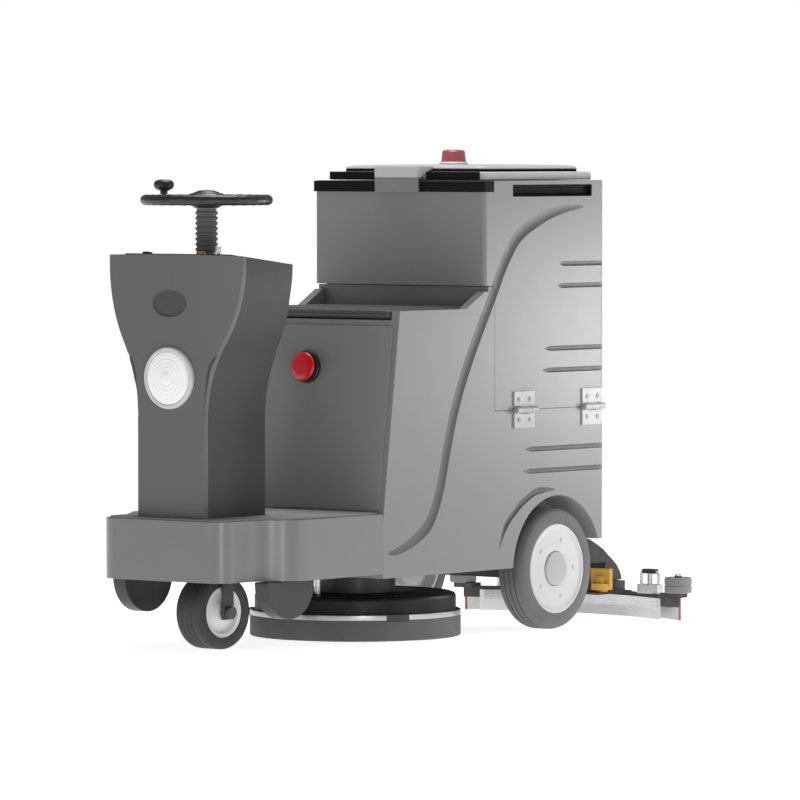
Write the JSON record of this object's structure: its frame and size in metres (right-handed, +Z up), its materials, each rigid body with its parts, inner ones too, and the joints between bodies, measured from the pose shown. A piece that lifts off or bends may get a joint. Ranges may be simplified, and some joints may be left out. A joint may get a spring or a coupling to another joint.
{
  "type": "ride-on floor scrubber",
  "caption": "Ride-on floor scrubber with a steering console, seat, tipping recovery tank with a lid, lifting disc brush and a curved rear squeegee.",
  "frame": {"origin": "on the floor, under the middle of the machine's outline", "axes": "+Z up, -Y the way the machine drives, +X the operator's left"},
  "size_m": [0.762, 1.76, 1.205],
  "materials": {
    "grey_body": "fine-grained moulded plastic, mid grey",
    "dark_grey": "fine-grained moulded plastic, dark grey",
    "black_plastic": "satin black",
    "black_rubber": "ribbed, dull",
    "pale_plastic": "satin off-white",
    "hub_plastic": "satin light grey",
    "tyre": "dull solid rubber",
    "roller_grey": "dull grey",
    "red_rubber": "dull red",
    "seat_cover": "grained black vinyl",
    "lamp_lens": "frosted white",
    "red_lens": "translucent red",
    "red_plastic": "satin red",
    "yellow_plastic": "satin amber yellow",
    "frame_paint": "satin black powder coat",
    "motor_paint": "satin black",
    "drum_metal": "satin dark grey",
    "zinc": "zinc plated",
    "cast_alloy": "dark coated casting",
    "battery_case": "matte black",
    "bristle": "nylon filament",
    "hose_black": "corrugated, satin"
  },
  "bodies": {
    "chassis": {"main_frame": "frame_paint", "rear_axle": "frame_paint", "front_deck_shell": "grey_body", "deck_mat": "black_rubber", "console_front_shell": "grey_body", "console_rear_cover": "dark_grey", "dash_panel": "black_plastic", "headlamp_bezel": "hub_plastic", "headlamp_lens": "lamp_lens", "anti_tip_skids": "black_plastic", "lower_body_shell": "grey_body", "seat_front_panel": "grey_body", "seat_cushion": "seat_cover", "battery_pack": "battery_case", "vacuum_motor": "dark_grey", "hose_inlet": "black_plastic", "vacuum_hose": "hose_black", "hinge_lower_leaves": "pale_plastic", "hinge_screws_lower": "zinc", "brush_actuator_barrel": "motor_paint"},
    "filler_cap": {"filler_cap": "black_plastic"},
    "pedal": {"accelerator_pedal": "black_plastic"},
    "key": {"ignition_key": "zinc"},
    "direction_switch": {"direction_switch": "black_plastic"},
    "horn_button": {"horn_button": "yellow_plastic"},
    "stop_button": {"estop_button": "red_plastic"},
    "steering": {"steering_wheel": "black_plastic", "steering_column": "black_plastic", "front_fork": "frame_paint", "front_axle": "zinc"},
    "spinner": {"spinner_knob": "black_plastic"},
    "front_wheel": {"front_tyre": "tyre", "front_wheel_hub": "hub_plastic"},
    "rear_wheel_left": {"rear_tyre_left": "tyre", "rear_rim_left": "hub_plastic"},
    "rear_wheel_right": {"rear_tyre_right": "tyre", "rear_rim_right": "hub_plastic"},
    "brush_unit": {"brush_deck_plate": "drum_metal", "brush_motor": "motor_paint", "splash_skirt": "black_rubber", "brush_actuator_rod": "zinc"},
    "brush": {"brush_block": "hub_plastic", "brush_bristles": "bristle"},
    "squeegee_arm": {"squeegee_arm": "black_plastic"},
    "squeegee": {"squeegee_body": "cast_alloy", "squeegee_blades": "red_rubber", "blade_clamps": "zinc"},
    "clamp_left": {"clamp_knob_left": "yellow_plastic"},
    "clamp_right": {"clamp_knob_right": "yellow_plastic"},
    "roller_left": {"bumper_roller_left": "roller_grey"},
    "roller_right": {"bumper_roller_right": "roller_grey"},
    "recovery_tank": {"recovery_tank_shell": "grey_body", "tank_trims": "black_plastic", "hinge_upper_leaves": "pale_plastic", "hinge_screws_upper": "zinc"},
    "lid": {"lid_shell": "grey_body", "lid_front_trim": "black_plastic", "lid_latch_plate": "grey_body", "beacon_base": "pale_plastic", "beacon_lens": "red_lens"}
  },
  "joints": [
    {"name": "steering", "type": "hinge", "parent": "chassis", "child": "steering", "pos_m": [0, -0.7, 0.333], "axis": [0, 0, 1], "range_deg": [-70, 80]},
    {"name": "spinner_turn", "type": "hinge", "parent": "steering", "child": "spinner", "pos_m": [-0.1463, -0.6856, 1.09], "axis": [0, 0, 1], "continuous": true},
    {"name": "front_wheel_roll", "type": "hinge", "parent": "steering", "child": "front_wheel", "pos_m": [0.00174, -0.68008, 0.09], "axis": [0.9962, -0.0872, 0], "continuous": true},
    {"name": "rear_wheel_left_roll", "type": "hinge", "parent": "chassis", "child": "rear_wheel_left", "pos_m": [0.229, 0.355, 0.1525], "axis": [1, 0, 0], "continuous": true},
    {"name": "rear_wheel_right_roll", "type": "hinge", "parent": "chassis", "child": "rear_wheel_right", "pos_m": [-0.229, 0.355, 0.1525], "axis": [1, 0, 0], "continuous": true},
    {"name": "brush_lift", "type": "slide", "parent": "chassis", "child": "brush_unit", "axis": [0, 0, 1], "range_m": [0, 0.05]},
    {"name": "brush_spin", "type": "hinge", "parent": "brush_unit", "child": "brush", "pos_m": [0, -0.124, 0.06], "axis": [0, 0, 1], "continuous": true},
    {"name": "squeegee_lift", "type": "hinge", "parent": "chassis", "child": "squeegee_arm", "pos_m": [0, 0.558, 0.2], "axis": [1, 0, 0], "range_deg": [0, 12], "deforming": ["vacuum_hose"]},
    {"name": "squeegee_swivel", "type": "hinge", "parent": "squeegee_arm", "child": "squeegee", "pos_m": [0, 0.836, 0.1], "axis": [0, 0, 1], "range_deg": [-25, 25]},
    {"name": "clamp_left_turn", "type": "hinge", "parent": "squeegee", "child": "clamp_left", "pos_m": [0.126, 0.738, 0.09], "axis": [0, 0, 1], "continuous": true},
    {"name": "clamp_right_turn", "type": "hinge", "parent": "squeegee", "child": "clamp_right", "pos_m": [-0.126, 0.738, 0.09], "axis": [0, 0, 1], "continuous": true},
    {"name": "roller_left_turn", "type": "hinge", "parent": "squeegee", "child": "roller_left", "pos_m": [0.346, 0.768, 0.09], "axis": [0, 0, 1], "continuous": true},
    {"name": "roller_right_turn", "type": "hinge", "parent": "squeegee", "child": "roller_right", "pos_m": [-0.346, 0.768, 0.09], "axis": [0, 0, 1], "continuous": true},
    {"name": "tank_tip", "type": "hinge", "parent": "chassis", "child": "recovery_tank", "pos_m": [0.278, 0.3, 0.557], "axis": [0, 1, 0], "range_deg": [0, 80]},
    {"name": "lid_open", "type": "hinge", "parent": "recovery_tank", "child": "lid", "pos_m": [0, 0.55, 1.136], "axis": [-1, 0, 0], "range_deg": [0, 75]},
    {"name": "stop_press", "type": "slide", "parent": "chassis", "child": "stop_button", "axis": [0, 0.9916, -0.1295], "range_m": [0, 0.006], "stiffness_N_per_m": 500, "springref_m": -0.002},
    {"name": "horn_press", "type": "slide", "parent": "chassis", "child": "horn_button", "axis": [0, -0.115, -0.9934], "range_m": [0, 0.0025], "stiffness_N_per_m": 300, "springref_m": -0.001},
    {"name": "direction_rock", "type": "hinge", "parent": "chassis", "child": "direction_switch", "pos_m": [-0.11, -0.79043, 0.95418], "axis": [1, 0, 0], "range_deg": [-10, 10]},
    {"name": "key_turn", "type": "hinge", "parent": "chassis", "child": "key", "pos_m": [0.11, -0.79077, 0.9512], "axis": [0, 0.115, 0.9934], "range_deg": [0, 60]},
    {"name": "pedal_press", "type": "hinge", "parent": "chassis", "child": "pedal", "pos_m": [-0.185, -0.437, 0.338], "axis": [1, 0, 0], "range_deg": [0, 10], "stiffness_Nm_per_rad": 3, "springref_deg": -17.19},
    {"name": "cap_unscrew", "type": "hinge", "parent": "chassis", "child": "filler_cap", "pos_m": [-0.269, -0.087, 0.6], "axis": [-1, 0, 0], "continuous": true}
  ]
}
